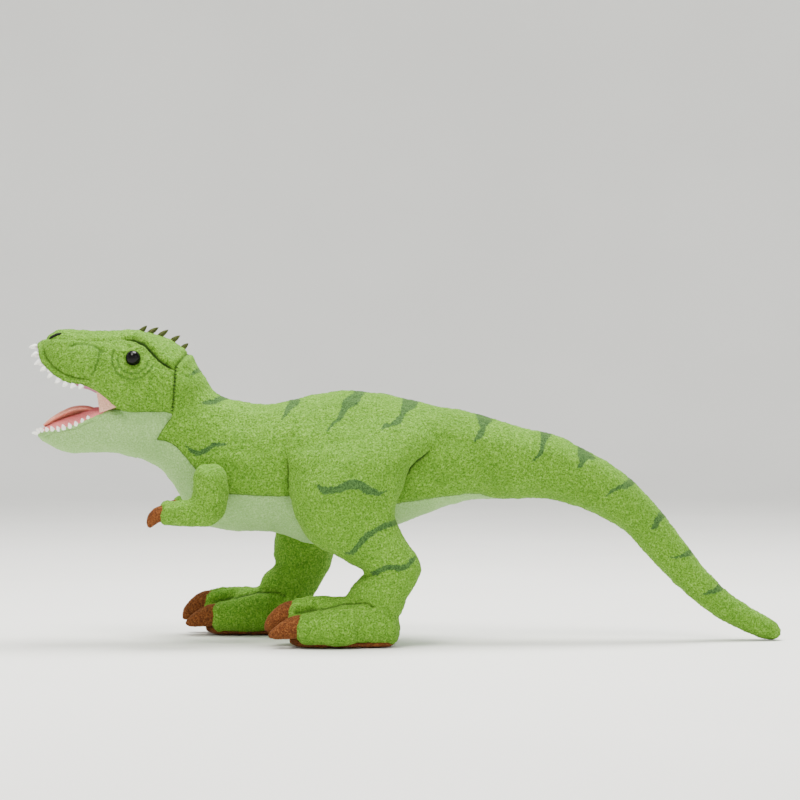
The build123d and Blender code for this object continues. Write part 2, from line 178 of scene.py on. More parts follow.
def fused(parts, voxel):
    """Overlapping closed forms fused into one even skin: (verts in mm, triangles)."""
    mesh = as_mesh("forms", *merged(parts))
    made = linked("forms", mesh)
    remesh = made.modifiers.new("remesh", "REMESH")
    remesh.mode = "VOXEL"
    remesh.voxel_size = voxel * MM
    made.update_tag()
    bpy.context.view_layer.update()
    result = made.evaluated_get(bpy.context.evaluated_depsgraph_get()).to_mesh()
    result.calc_loop_triangles()
    verts = np.zeros(len(result.vertices) * 3)
    result.vertices.foreach_get("co", verts)
    tris = np.zeros(len(result.loop_triangles) * 3, np.int32)
    result.loop_triangles.foreach_get("vertices", tris)
    bpy.data.objects.remove(made)
    bpy.data.meshes.remove(mesh)
    return verts.reshape(-1, 3) / MM, tris.reshape(-1, 3)


def sides_of(tris):
    """The corner pairs of every face."""
    n = tris.shape[1]
    return np.concatenate([tris[:, [i, (i + 1) % n]] for i in range(n)])


def edges_of(tris):
    """Every edge once, and for each corner pair of each triangle which edge it is."""
    edges, which = np.unique(np.sort(sides_of(tris), axis=1), axis=0, return_inverse=True)
    return edges, which.reshape(3, -1).T


def rim_of(tris):
    """The corner pairs that only one face has."""
    pairs = sides_of(tris)
    _, where, count = np.unique(np.sort(pairs, axis=1), axis=0, return_index=True, return_counts=True)
    return pairs[where[count == 1]]


def relax(values, edges, times, share=0.5, weight=None):
    """Values at points eased towards their neighbours' mean."""
    values = values.copy()
    count = np.bincount(edges.ravel(), minlength=len(values)).astype(float)
    count[count == 0] = 1
    shape = (-1,) + (1,) * (values.ndim - 1)
    move = share if weight is None else share * weight.reshape(shape)
    a, b = edges.T
    columns = values.reshape(len(values), -1).T
    for _ in range(times):
        total = [np.bincount(a, v[b], len(v)) + np.bincount(b, v[a], len(v)) for v in columns]
        values += (np.array(total).T.reshape(values.shape) / count.reshape(shape) - values) * move
    return values


def normals_of(verts, tris):
    """The outward direction at each point."""
    a, b, c = (verts[tris[:, i]] for i in range(3))
    cross = np.cross(b - a, c - a)
    columns = [sum(np.bincount(t, way, len(verts)) for t in tris.T) for way in cross.T]
    total = np.stack(columns, 1)
    return total / np.maximum(np.linalg.norm(total, axis=1, keepdims=True), 1e-12)


def cut(verts, tris, fields, column):
    """Splits triangles along fields[:, column] == 0, moving points that lie close to the line onto it."""
    f = fields[:, column].copy()
    edges, _ = edges_of(tris)
    fa, fb = f[edges[:, 0]], f[edges[:, 1]]
    cross = fa * fb < 0
    share = np.where(cross, fa / np.where(cross, fa - fb, 1), 0.5)
    verts, fields = verts.copy(), fields.copy()
    close = 0.15
    for end, near in ((0, cross & (share < close)), (1, cross & (share > 1 - close))):
        a, b = edges[near, end], edges[near, 1 - end]
        part = (share[near] if end == 0 else 1 - share[near])[:, None]
        verts[a] += (verts[b] - verts[a]) * part
        fields[a] += (fields[b] - fields[a]) * part
        fields[a, column] = 0
    f = fields[:, column]
    edges, which = edges_of(tris)
    fa, fb = f[edges[:, 0]], f[edges[:, 1]]
    cross = fa * fb < 0
    share = (fa[cross] / (fa[cross] - fb[cross]))[:, None]
    made = np.full(len(edges), -1)
    made[cross] = len(verts) + np.arange(cross.sum())
    a, b = edges[cross, 0], edges[cross, 1]
    new_fields = fields[a] + (fields[b] - fields[a]) * share
    new_fields[:, column] = 0
    verts = np.concatenate([verts, verts[a] + (verts[b] - verts[a]) * share])
    fields = np.concatenate([fields, new_fields])
    mids = made[which]
    hit = mids >= 0
    whole = tris[hit.sum(1) == 0]
    out = [whole]
    for j in range(3):
        p, q, r = j, (j + 1) % 3, (j + 2) % 3
        one = hit[:, p] & ~hit[:, q] & ~hit[:, r]
        t, m = tris[one], mids[one]
        out.append(np.stack([t[:, p], m[:, p], t[:, r]], 1))
        out.append(np.stack([m[:, p], t[:, q], t[:, r]], 1))
        two = hit[:, p] & hit[:, q] & ~hit[:, r]
        t, m = tris[two], mids[two]
        out.append(np.stack([m[:, p], t[:, q], m[:, q]], 1))
        out.append(np.stack([t[:, p], m[:, p], m[:, q]], 1))
        out.append(np.stack([t[:, p], m[:, q], t[:, r]], 1))
    return verts, np.concatenate(out), fields


def to_line(points, line):
    """How far points of the side view lie from a polyline."""
    line = np.array(line, float)
    best = np.full(len(points), 1e9)
    for a, b in zip(line[:-1], line[1:]):
        d = b - a
        t = np.clip(((points - a) @ d) / max(d @ d, 1e-9), 0, 1)[:, None]
        best = np.minimum(best, np.linalg.norm(points - a - t * d, axis=1))
    return best


def to_shape(points, shape):
    """Signed distance to a closed outline in the side view: below zero inside."""
    closed = [*shape, shape[0]]
    inside = np.zeros(len(points), bool)
    for (ax, az), (bx, bz) in zip(closed[:-1], closed[1:]):
        straddles = (az > points[:, 1]) != (bz > points[:, 1])
        at = ax + (points[:, 1] - az) * (bx - ax) / (bz - az if bz != az else 1e-9)
        inside ^= straddles & (points[:, 0] < at)
    return to_line(points, closed) * np.where(inside, -1, 1)


def ripple(verts, wavelength, waves=22):
    """Gentle seeded unevenness of about one size, roughly between -1 and 1."""
    way = rng.normal(size=(waves, 3))
    way /= np.linalg.norm(way, axis=1, keepdims=True)
    size = 2 * np.pi / (wavelength * rng.uniform(0.75, 1.35, waves))
    return np.sin(verts @ (way * size[:, None]).T + rng.uniform(0, 7, waves)).sum(1) / math.sqrt(waves)


# ---- the sewn skin: one even surface over the body, head, jaw, legs and toes ----
ARM = [
    (-128.5, 118.5, -90, 4, 4, 44.6), (-128.3, 115.5, -90, 8.5, 9.5, 44.6), (-128, 107, -90, 11, 14, 44.6),
    (-127.8, 97, -92, 11.4, 13.2, 45.8), (-130.5, 90, -130, 12, 11.5, 47.8),
    (-141, 87, -180, 9, 9.8, 47.8), (-152, 86.7, -180, 8, 8.8, 47.8), (-159, 86.5, -180, 6.8, 7.5, 47.8),
    (-161.5, 86.5, -180, 3, 3.5, 47.8),
]
HIP_ROWS = [
    (-33, 156, -90, 18, 5, 16), (-33, 150, -90, 38, 10, 21.5), (-33, 141, -90, 50, 14.5, 26.5),
    (-34, 129, -90, 49.5, 19, 32), (-38.5, 115, -90, 40.5, 22.5, 37),
]
LEG_ROWS = {
    "left": [
        (-40.3, 103, -90, 37.3, 23.5, 40.5), (-41, 92, -89, 34.2, 22.5, 42.5),
        (-39.4, 82.5, -87, 32.2, 21, 43.5), (-33, 71.5, -82, 28.6, 19.5, 44),
        (-21, 62, -81, 22.8, 18.3, 44), (-14, 55, -84, 21.6, 17.3, 44), (-9.4, 48.5, -90, 18.9, 16.8, 44),
        (-15.7, 39.4, -94, 20, 16.5, 44.5), (-20, 31.5, -97, 19, 16.5, 45), (-23, 22, -100, 17, 15.5, 45),
        (-26, 13, -100, 10, 10, 45),
    ],
    "right": [
        (-42, 103, -90, 38, 23.5, 40.5), (-47, 92, -91, 35, 22.5, 42.5), (-54.5, 81, -93, 31.5, 21, 43.5),
        (-63.5, 70, -94, 27, 19.5, 44), (-68.5, 61, -92, 23, 18.3, 44), (-71, 54.5, -90, 20.3, 17.3, 44),
        (-71.2, 48.5, -90, 19, 16.8, 44), (-77, 39.4, -94, 20, 16.5, 44.5),
        (-81.5, 31.5, -97, 19, 16.5, 45), (-84.5, 22, -100, 17, 15.5, 45), (-87.5, 13, -100, 10, 10, 45),
    ],
}
FOOT = [
    (-5.2, 12, 180, 4, 4, 45), (-7.5, 12.5, 180, 10, 9.5, 45), (-14, 14, 180, 13, 14.5, 45),
    (-28, 16, 180, 16, 18, 45), (-44, 16, 180, 16, 19.5, 45), (-57, 15.5, 180, 13.5, 18.5, 45),
    (-64, 15, 180, 8, 12, 45),
]
MIDDLE_TOE = [
    (-40, 19, 180, 13, 8.5), (-56, 19.5, 180, 14, 9.5), (-68, 19.5, 180, 12.6, 9),
    (-76, 19.5, 180, 9.6, 7), (-78.5, 19.5, 180, 5, 4),
]
SIDE_TOE = [
    (-34, 15, 180, 12.5, 9), (-50, 14, 180, 12, 9.8), (-62, 13.3, 180, 10.6, 9), (-70.5, 13, 180, 8, 7),
    (-73, 13, 180, 4, 4),
]
TOE_SPACING = 13.5


def moved(rows, dx=0.0, sign=1, dy=0.0):
    """Section rows shifted along X and set at one side of the toy."""
    return [(r[0] + dx, *r[1:5], sign * ((r[5] if len(r) > 5 else 45.0) + dy)) for r in rows]


body_form = tube(SPINE)
leg_forms = {}
for side, sign in SIDES.items():
    ahead = HOCK_X[side] - HOCK_X["left"]
    flat = [(-200, 2.2), (200, 2.2)]
    leg_forms[side] = [
        tube(moved(HIP_ROWS + LEG_ROWS[side], 0, sign), around=72),
        tube(moved(FOOT, ahead, sign), low=flat, power=2.5),
        tube(moved(MIDDLE_TOE, ahead, sign), low=flat),
        tube(moved(SIDE_TOE, ahead, sign, TOE_SPACING), low=flat),
        tube(moved(SIDE_TOE, ahead, sign, -TOE_SPACING), low=flat),
    ]
head_forms = [
    tube(SKULL, low=ROOF, bows=ROOF_BOW, step=1.5, around=80),
    tube(JAW, high=FLOOR, bows=FLOOR_BOW, step=1.5, around=72, power=2.15),
]
VOXEL = 1.2
skin, tris = fused([body_form, *head_forms, *leg_forms["left"], *leg_forms["right"]], VOXEL)
edges, _ = edges_of(tris)


def near_side(points, x, z, reach, fall):
    """1 near a point of the side view, easing to 0."""
    far = np.hypot(points[:, 0] - x, points[:, 2] - z)
    return np.clip((reach + fall - far) / fall, 0, 1)


EVEN = 1.2 / VOXEL
skin = relax(skin, edges, int(5 * EVEN))
hip = np.clip((skin[:, 2] - 122) / 18, 0, 1) * near_side(skin, -33, 145, 60, 20)
skin = relax(skin, edges, int(110 * EVEN**2), weight=hip)
neck = near_side(skin, -150, 118, 16, 14) + 0.8 * near_side(skin, -132, 172, 10, 12)
skin = relax(skin, edges, int(50 * EVEN**2), weight=np.clip(neck, 0, 1))
skin_normals = normals_of(skin, tris)


def tree_of(parts):
    """A search tree of some forms."""
    verts, faces = merged(parts)
    return BVHTree.FromPolygons([Vector(v) for v in verts], faces)


def how_far(tree, points, reach=60.0):
    """How far points lie from a tree's surface."""
    found = [tree.find_nearest(Vector(p), reach)[3] for p in points]
    return np.array([reach if far is None else far for far in found])


# ---- seams, in the side view ----
HEAD_ZONE = [
    (-146, 230), (-146, 191), (-151.8, 182.3), (-153.1, 160), (-154.5, 151), (-180.6, 121), (-195, 104.6),
    (-290, 104.6), (-290, 230),
]
REAR_SEAM = [(-145.9, 191), (-151.8, 182.3), (-153.1, 160), (-154.5, 151)]
CROWN_SEAM = [
    (-260, 202), (-234, 200.8), (-225.5, 200.5), (-212.3, 199.5), (-199, 199.5), (-187, 200.6),
    (-180, 200), (-174.1, 197.5), (-168.8, 192.8), (-162.3, 186.2), (-154.4, 181), (-140, 176),
]
PALE = [
    (-192.5, 154), (-183.9, 151.3), (-172.1, 151.8), (-159, 151.6), (-154.8, 150.8), (-164.6, 134),
    (-159.8, 133.4), (-155.8, 131.9), (-151.3, 128.7), (-145.4, 122.1), (-138.9, 113.6), (-130, 104),
    (-117.4, 98.7), (-98, 97.4), (-80, 97), (-40, 91), (-8.3, 91.3), (8.1, 93.3), (27.7, 96), (48, 97),
    (60, 95), (60, 40), (-170, 40), (-290, 90), (-290, 150), (-246, 150), (-206, 156),
]
STRIPES = [
    [(-72, 175), (-71.5, 160), (-71.5, 158.2), (-74.9, 155.7), (-77, 153.2), (-78.8, 150.4), (-83, 146.8),
     (-81.3, 150.4), (-80.6, 155.3), (-78.4, 158.5), (-77, 161), (-77, 175)],
    [(-24, 180), (-24.4, 166.4), (-27.7, 164.2), (-30.9, 161.7), (-31.2, 158.5), (-34, 156.4),
     (-37.6, 155.3), (-40.1, 152.9), (-41.9, 149), (-45.1, 146.1), (-48.6, 144.3), (-52.9, 139),
     (-51.4, 142.9), (-49, 145.8), (-46.8, 147.2), (-45.1, 151.1), (-43.3, 156.1), (-42.9, 158.9),
     (-40.1, 161.7), (-35.8, 163.5), (-34, 180)],
    [(8, 175), (7.2, 158.8), (5.4, 156.1), (1.5, 153.9), (-1.7, 151.1), (-3.5, 146.8), (-6, 144),
     (-9.9, 143.3), (-13.5, 142.6), (-17, 140.4), (-16.3, 144), (-13.8, 145.1), (-11, 144.7),
     (-7.4, 148.2), (-4.9, 151.1), (-3.9, 154.6), (-3.2, 159.6), (-3, 175)],
    [(-59.7, 107.3), (-55.9, 104.8), (-51, 103.8), (-45.4, 104.5), (-41.2, 107.3), (-35.6, 109),
     (-30.8, 108.3), (-25.9, 105.2), (-21.7, 103.1), (-17.5, 101), (-11.2, 102), (-16.1, 99.6),
     (-19.6, 98.5), (-23.8, 99.2), (-27.3, 99.6), (-30.1, 102), (-33.6, 103.1), (-38.4, 102.7),
     (-42.6, 101), (-48.2, 100.3), (-54.5, 99.6), (-57.3, 102.4)],
    [(-4, 82.6), (-13.6, 80.5), (-18.2, 78.5), (-21.6, 76.2), (-25.6, 75), (-28.5, 72.2), (-31.3, 68.7),
     (-34.8, 64.1), (-35.9, 62.4), (-39.9, 61), (-35.4, 60.7), (-33.6, 63), (-29.6, 67.6), (-25.6, 71.6),
     (-21.6, 74.4), (-18.7, 76.2), (-14.2, 78.2), (-4, 80.5)],
    [(4.7, 58.6), (1.9, 57.1), (-0.4, 54.3), (-4.4, 53.1), (-9, 53.4), (-14.2, 53.1), (-18.2, 51.4),
     (-20.5, 49.7), (-24.5, 48.2), (-20.5, 48), (-17.6, 49.7), (-14.2, 51.1), (-10.2, 51.7), (-5.6, 50.8),
     (-2.1, 51.4), (1.3, 53.7), (3.6, 56.6)],
    [(45.5, 165), (45, 149), (46.5, 146), (47.9, 141.6), (45, 137.1), (43.5, 132.7), (48.7, 134.9),
     (50.9, 138.6), (51.6, 143), (56, 146), (58, 165)],
    [(88.5, 155), (88.5, 138.6), (87.7, 132), (86.3, 125.4), (81.8, 119.5), (87.7, 123.1), (89.7, 126.8),
     (91.4, 132.7), (95.1, 136), (99, 155)],
    [(115, 145), (113.2, 127.5), (112.4, 123.9), (113.3, 118.7), (111.4, 114.3), (115.8, 116.5),
     (118, 120.5), (123.9, 120.5), (124.7, 122.4), (119, 127.5), (122, 145)],
    [(155, 116), (146.5, 107.5), (144.8, 106.1), (138.9, 103.1), (133.7, 100.2), (130.7, 96.5),
     (139.6, 101.2), (144.8, 101.4), (149.9, 103.9), (162, 110)],
    [(178, 96), (166.5, 85), (165.7, 83.8), (163.4, 80.9), (162, 77.2), (159, 73.5), (164.9, 75.7),
     (167.9, 80.1), (173, 83.4), (186, 92)],
    [(200, 72), (188, 61), (184.3, 59.4), (182, 57.6), (173.2, 55.7), (177.6, 55.5), (183.5, 55.9),
     (190.8, 57.3), (206, 66)],
    [(220, 50), (207, 38.6), (203.8, 35.2), (200, 34.1), (194.9, 30.8), (199.3, 31.2), (204.5, 32.4),
     (210.8, 34.8), (226, 44)],
    [(-146.3, 131.9), (-142.4, 128.3), (-137.1, 126.3), (-131.9, 128.6), (-127.5, 132.5), (-122.8, 132.2),
     (-115.6, 131.9), (-122.8, 129.9), (-126.7, 129.6), (-131.3, 125.5), (-137.1, 123.2), (-142.4, 125.8)],
    [(-128, 190), (-134.5, 180.5), (-139.1, 177.8), (-143.7, 176.5), (-141.1, 179.2), (-136.5, 184),
     (-134, 194)],
    [(-136.4, 158), (-132.5, 160), (-127.9, 160.7), (-123.2, 164), (-118, 172), (-112, 172),
     (-116.6, 161.3), (-122.6, 160), (-127.2, 157.4), (-131.8, 157.4)],
]
EYE = (-180.0, 187.5)
SNOUT_LINES = [
    [(-221.9, 195.5), (-219.5, 196.6), (-216.7, 197.1), (-210.1, 196.8), (-207, 196), (-204.2, 194.5),
     (-200.2, 191.6)],
    [(-202.5, 193.5), (-203, 189), (-203.5, 185), (-205, 180.5), (-206.8, 176.4)],
]
JAW_CREASE = [(-240, 135.4), (-233.9, 138.2), (-218.8, 141), (-206.1, 146.4)]
TOE_CREASE = [(-72, 22.5), (-69, 23.6), (-55, 27.3), (-39.2, 30.3), (-27, 29.5), (-22, 27)]
ANKLE_CREASE = [(-27, 47.6), (-20, 47.4), (-12, 48.6), (-4, 51)]
TAIL_START, TIP_START, TIP_WAY = 28.0, np.array([136.6, 98.1]), np.array([0.743, -0.669])

flat_view = skin[:, [0, 2]]
roof_x, roof_z = np.array(ROOF).T
floor_x, floor_z = np.array(FLOOR).T
in_leg_reach = (np.abs(skin[:, 1]) > 12) & (skin[:, 0] > -170) & (skin[:, 0] < 40)
is_leg = np.full(len(skin), -3.0)
body_tree = tree_of([body_form])
for side, sign in SIDES.items():
    tree = tree_of(leg_forms[side])
    pick = np.flatnonzero(in_leg_reach & (skin[:, 1] * sign > 0))
    is_leg[pick] = np.clip(how_far(body_tree, skin[pick]) - how_far(tree, skin[pick]), -3, 3)
top_limit = np.interp(skin[:, 0], [-90, -80, -33, 10, 20], [138, 141, 150, 132, 126])
is_leg = np.where(skin[:, 2] < 62, 3.0, is_leg)
is_leg = np.where((skin[:, 0] > 40) | (skin[:, 0] < -170), -3.0, is_leg)
is_leg = relax(np.minimum(is_leg, (top_limit - skin[:, 2]) / 2), edges, 6)
down = skin_normals[:, 2]
inside = np.clip((22 - np.abs(skin[:, 1])) / 4, 0, 1)
roof_middles = (roof_x[1:] + roof_x[:-1]) / 2
roof_slope = np.interp(skin[:, 0], roof_middles, np.diff(roof_z) / np.diff(roof_x))
tilt = np.hypot(1, roof_slope)
facing = (skin_normals[:, 0] * roof_slope - down) / tilt
roof_gap = np.abs(skin[:, 2] - np.interp(skin[:, 0], roof_x, roof_z)) / tilt
floor_gap = np.abs(skin[:, 2] - np.interp(skin[:, 0], floor_x, floor_z))
faces_roof = facing - np.interp(skin[:, 0], [-224, -214], [0.84, 0.5])
palate = np.minimum.reduce([faces_roof, 2.4 - roof_gap / 5, (-194 + 9 * inside - skin[:, 0]) / 4])
floor = np.minimum.reduce([down - 0.5, 2.4 - floor_gap / 5, (-199.5 + 14.5 * inside - skin[:, 0]) / 4])
lining = relax(np.maximum(palate, floor), edges, 2)
columns = [
    to_shape(flat_view, HEAD_ZONE),
    to_shape(flat_view, PALE),
    np.where(skin[:, 0] < -130, skin[:, 2] - np.interp(skin[:, 0], *np.array(CROWN_SEAM).T), -20),
    lining,
    is_leg,
    np.abs(skin[:, 1]) - 42.0,
    skin[:, 0] - TAIL_START,
    (flat_view - TIP_START) @ TIP_WAY,
    skin[:, 1],
]
HEAD, PALENESS, CROWN, LINING, LEG, OUTER, TAIL, TIP, MIDDLE = range(9)
fields = np.stack(columns, 1)
for column in (HEAD, LINING, PALENESS, CROWN, LEG, TAIL, TIP, OUTER, MIDDLE):
    skin, tris, fields = cut(skin, tris, fields, column)

at = fields[tris].mean(1)
head = at[:, HEAD] < 0
pale = at[:, PALENESS] < 0
left = at[:, MIDDLE] < 0


def sided(name):
    """A panel's name for each triangle, by the side of the toy it is on."""
    return np.where(left, name + "_left", name + "_right").astype(object)


names = sided("torso_skin")
names[pale] = "belly_skin"
tail = at[:, TAIL] > 0
names[tail] = sided("tail_skin")[tail]
names[tail & pale] = "vent_skin"
tip = (at[:, TIP] > 0) & tail
names[tip] = sided("tail_tip_skin")[tip]
leg_zone = at[:, LEG] > 0
outer = at[:, OUTER] > 0
leg_names = np.where(outer, sided("leg_outer_skin"), sided("leg_inner_skin"))
names[leg_zone & ~head] = leg_names[leg_zone & ~head]
crown = at[:, CROWN] > 0
names[head] = np.where(pale, "jaw_skin", np.where(crown, "crown_skin", sided("head_skin")))[head]
middles = skin[tris].mean(1)
lined = head & (at[:, LINING] > 0) & (np.abs(middles[:, 1]) < 26)
between = np.interp(middles[:, 0], [-250, -240, -225, -205, -195], [165, 160, 157, 158, 153.5])
names[lined] = np.where(middles[:, 2] > between, "palate_lining", "floor_lining")[lined]

# the head's triangles are quartered, for its finer folds
small, big = tris[head], tris[~head]
edges, which = edges_of(small)
mids = len(skin) + which
skin = np.concatenate([skin, skin[edges].mean(1)])
fields = np.concatenate([fields, fields[edges].mean(1)])
a, b, c = small.T
m, n, o = mids.T
quarters = [np.stack(corners, 1) for corners in ((a, m, o), (m, b, n), (o, n, c), (m, n, o))]
tris = np.concatenate([big] + quarters)
names = np.concatenate([names[~head]] + [names[head]] * 4)
edges, _ = edges_of(tris)
soft = (fields[:, HEAD] < 1) & (np.abs(fields[:, LINING]) > 0.05)
skin = relax(skin, edges, 2, 0.4, soft.astype(float))
normals = normals_of(skin, tris)
flat_view = skin[:, [0, 2]]


# ---- folds, seams and pile, as displacement along the surface's own direction ----
def groove(far, width):
    """1 on a line, falling to 0 beside it."""
    return np.exp(-((far / width) ** 2))


def ridge(far, centre, width):
    """1 at some distance from a line, falling to 0 on both sides."""
    return np.exp(-(((far - centre) / width) ** 2))


x, y, z = skin.T
on_head = fields[:, HEAD] < 0
to_roof = to_line(flat_view, ROOF[:-1])
to_rear = to_line(flat_view, REAR_SEAM)
crown_far = to_line(flat_view, CROWN_SEAM)
pale_far = np.abs(fields[:, PALENESS])
sideways = np.clip(np.abs(normals[:, 1]) * 2.2, 0, 1)
rest_z = np.clip((z - 150) / 6, 0, 1)
brow = np.clip((x + 192) / 12, 0, 1) * np.clip((-150 - x) / 6, 0, 1)
head_zone = np.clip((-148 - x) / 6, 0, 1)
lip = np.clip((-203 - x) / 10, 0, 1) * (z > 150) * np.clip((199 - z) / 7, 0, 1)
on_skin = fields[:, LINING] < 0
to_eye = np.hypot(x - EYE[0], z - EYE[1])
on_line = np.flatnonzero((np.abs(fields[:, LEG]) < 1e-9) & (skin[:, 2] < 144))
contour = KDTree(len(on_line))
for i, p in enumerate(skin[on_line]):
    contour.insert(p, i)
contour.balance()
leg_far = np.full(len(skin), 9.0)
near_leg = np.flatnonzero((x > -125) & (x < 45) & (z < 150))
leg_far[near_leg] = [min(9.0, contour.find(p)[2]) for p in skin[near_leg]]
d = np.zeros(len(skin))
crown_side = np.where(fields[:, CROWN] > 0, crown_far, -crown_far)
d -= (0.7 + 1.3 * brow) * groove(crown_far, 0.9) * head_zone
d += 1.5 * brow * ridge(crown_side, 3.2, 2.6) * head_zone
d -= 0.9 * brow * ridge(crown_side, -3.0, 3.0) * head_zone
off_leg = np.clip(-fields[:, LEG], 0, 1)
d -= 0.9 * groove(pale_far, 1.0) * sideways * on_skin * off_leg
d += 0.5 * ridge(pale_far, 3.5, 2.2) * sideways * (fields[:, PALENESS] > 0) * on_skin * off_leg
d -= 1.0 * groove(to_rear, 1.0) * rest_z
d += 0.6 * ridge(to_rear, 3.4, 2.2) * rest_z
d += lip * on_skin * (1.0 * ridge(to_roof, 2.0, 1.7) - 1.1 * groove(to_roof - 4.6, 1.0))
for line in SNOUT_LINES:
    d -= 0.55 * groove(to_line(flat_view, line), 1.1) * sideways * on_head
d += 0.9 * np.clip(1 - np.hypot((x + 214) / 12, (z - 186) / 9) ** 2, 0, 1) * sideways * on_head
d -= 2.0 * np.clip(1.35 - to_eye / 7.5, 0, 1) * sideways * on_head
for radius in (10.2, 13.6):
    d -= 0.35 * groove(to_eye - radius, 0.9) * sideways * on_head * (z < 192)
front = x < -35
fading = np.clip((np.where(front, 143, 132) - z) / np.where(front, 22, 12), 0, 1)
d -= fading * (1.5 * groove(leg_far, 2.0) + 0.8 * groove(leg_far, 0.9))
jaw_crease = to_line(flat_view, JAW_CREASE)
jaw_side = on_head * on_skin * sideways * (z < 150)
d -= 0.9 * groove(jaw_crease, 0.9) * jaw_side
shin_x = np.where(y < 0, x, x - HOCK_X["right"] + HOCK_X["left"])
foot_view = np.stack([shin_x, z], 1)
toe_crease = to_line(foot_view, TOE_CREASE)
ankle_crease = to_line(foot_view, ANKLE_CREASE)
toe_side = sideways * (z < 45) * (fields[:, LEG] > 0)
d -= toe_side * (1.7 * groove(toe_crease, 1.6) - 0.5 * ridge(toe_crease, 4.2, 2.4))
d -= 1.1 * groove(ankle_crease, 1.4) * (fields[:, LEG] > 0) * sideways
seam_y = np.abs(np.abs(y) - 42)
below = np.clip((70 - z) / 12, 0, 1) * (x > -150)
d -= 0.55 * groove(seam_y, 0.9) * below
spine = groove(y, 0.8) * (z > 100 - 0.45 * np.clip(x, 0, 300)) * (normals[:, 2] > 0.2)
d -= 0.45 * spine * (x > -135)
calm = np.where(on_head | (x > 150), 0.45, 1.0)
d += calm * (0.55 * ripple(skin, 42) + 0.28 * ripple(skin, 17)) + 0.16 * ripple(skin, 7)
nap = 0.13 * ripple(skin, 3.0) + 0.11 * rng.normal(size=len(skin))
d += nap * np.where(fields[:, PALENESS] < 0, 0.6, 1.0) * np.where(fields[:, LINING] > 0, 0.3, 1.0)
stripe = np.full(len(skin), 9.0)
strides = HOCK_X["left"] - HOCK_X["right"]
leg_x = np.where(y > 0, x + strides * np.clip((100 - z) / 45, 0, 1), x)
stripe_view = np.stack([np.where((x < 12) & (fields[:, LEG] > -3), leg_x, x), z], 1)
for shape in STRIPES:
    stripe = np.minimum(stripe, to_shape(stripe_view, shape))
stripe -= np.where((z < 90) & (stripe_view[:, 0] > -45) & (stripe_view[:, 0] < 10), 0.8, 0.15)
low_stripes = (z < 115) & (np.abs(y) < 40) & (stripe_view[:, 0] > -70) & (stripe_view[:, 0] < 12)
stripe[low_stripes] = 9.0
drawn = np.full(len(skin), 9.0)
way = np.degrees(np.arctan2(z - EYE[1], x - EYE[0]))
for radius, (low_turn, high_turn) in ((10.2, (-178, -8)), (13.8, (-200, -22))):
    turn = np.where(way > 60, way - 360, way)
    off = np.maximum(np.maximum(low_turn - turn, turn - high_turn), 0) * 0.12
    drawn = np.minimum(drawn, np.hypot(to_eye - radius, off))
for line in SNOUT_LINES:
    drawn = np.minimum(drawn, to_line(flat_view, line))
drawn[~on_head | (np.abs(normals[:, 1]) < 0.3)] = 9.0
# painted shade: seams, creases and folds darkened where shade falls; on the brow it is also the airbrushed
# line
painted_shade = np.maximum.reduce([
    groove(crown_far, 0.85) * brow * head_zone,
    0.6 * groove(to_rear, 0.9) * rest_z,
    0.6 * groove(to_roof - 4.6, 1.0) * lip * on_skin,
    0.6 * groove(pale_far, 0.8) * sideways * (fields[:, PALENESS] > -0.2) * off_leg,
    groove(leg_far, 0.9) * np.where(front, 0.75, 1.0) * np.clip((np.where(front, 125, 131) - z) / 8, 0, 1),
    0.35 * groove(crown_far, 0.8) * head_zone * (1 - brow),
    0.4 * groove(jaw_crease, 0.7) * jaw_side,
    0.7 * groove(toe_crease, 1.0) * toe_side,
])
skin = skin + normals * d[:, None]
normals = normals_of(skin, tris)


# ---- materials ----
def linear(colour):
    """A colour given as 0-255 screen values, as linear values."""
    return [((c / 255 + 0.055) / 1.055) ** 2.4 if c > 10 else c / 255 / 12.92 for c in colour] + [1.0]


class Shader:
    """A small helper that adds nodes to one material."""

    def __init__(self, name, roughness, sheen=0.0, sheen_tint=(255, 255, 255), sheen_rough=0.4, specular=0.5):
        self.material = bpy.data.materials.new(name)
        self.material.use_nodes = True
        self.tree = self.material.node_tree
        self.bsdf = self.tree.nodes["Principled BSDF"]
        self.feed(self.bsdf, {
            "Roughness": roughness, "Sheen Weight": sheen, "Sheen Tint": sheen_tint,
            "Sheen Roughness": sheen_rough, "Specular IOR Level": specular,
        })
        self.place = self.node("TexCoord", {}).outputs["Object"]

    def feed(self, node, values):
        """Numbers, 0-255 colours and other nodes' outputs into a node's inputs."""
        for key, value in values.items():
            if isinstance(value, (int, float)):
                node.inputs[key].default_value = value
            elif isinstance(value, tuple):
                node.inputs[key].default_value = linear(value)
            else:
                self.tree.links.new(value, node.inputs[key])

    def node(self, kind, values, **settings):
        made = self.tree.nodes.new("ShaderNode" + kind)
        for key, value in settings.items():
            setattr(made, key, value)
        self.feed(made, values)
        return made

    def noise(self, size_mm, detail=2.0, rough=0.55):
        values = {"Scale": 1000.0 / size_mm, "Detail": detail, "Roughness": rough, "Vector": self.place}
        return self.node("TexNoise", values).outputs["Fac"]

    def ranged(self, value, low, high, to_low=0.0, to_high=1.0):
        values = {0: value, 1: low, 2: high, 3: to_low, 4: to_high}
        return self.node("MapRange", values, interpolation_type="SMOOTHSTEP").outputs[0]

    def mix(self, share, first, second):
        return self.node("Mix", {0: share, 6: first, 7: second}, data_type="RGBA").outputs[2]

    def add(self, first, second):
        return self.node("Math", {0: first, 1: second}, operation="ADD").outputs[0]

    def value_of(self, name):
        return self.node("Attribute", {}, attribute_name=name).outputs["Fac"]

    def finish(self, colour, bump=None, depth_mm=0.3, strength=0.6):
        self.feed(self.bsdf, {"Base Color": colour})
        if bump is not None:
            node = self.node("Bump", {"Strength": strength, "Distance": depth_mm * MM, "Height": bump})
            self.feed(self.bsdf, {"Normal": node.outputs["Normal"]})
        return self.material


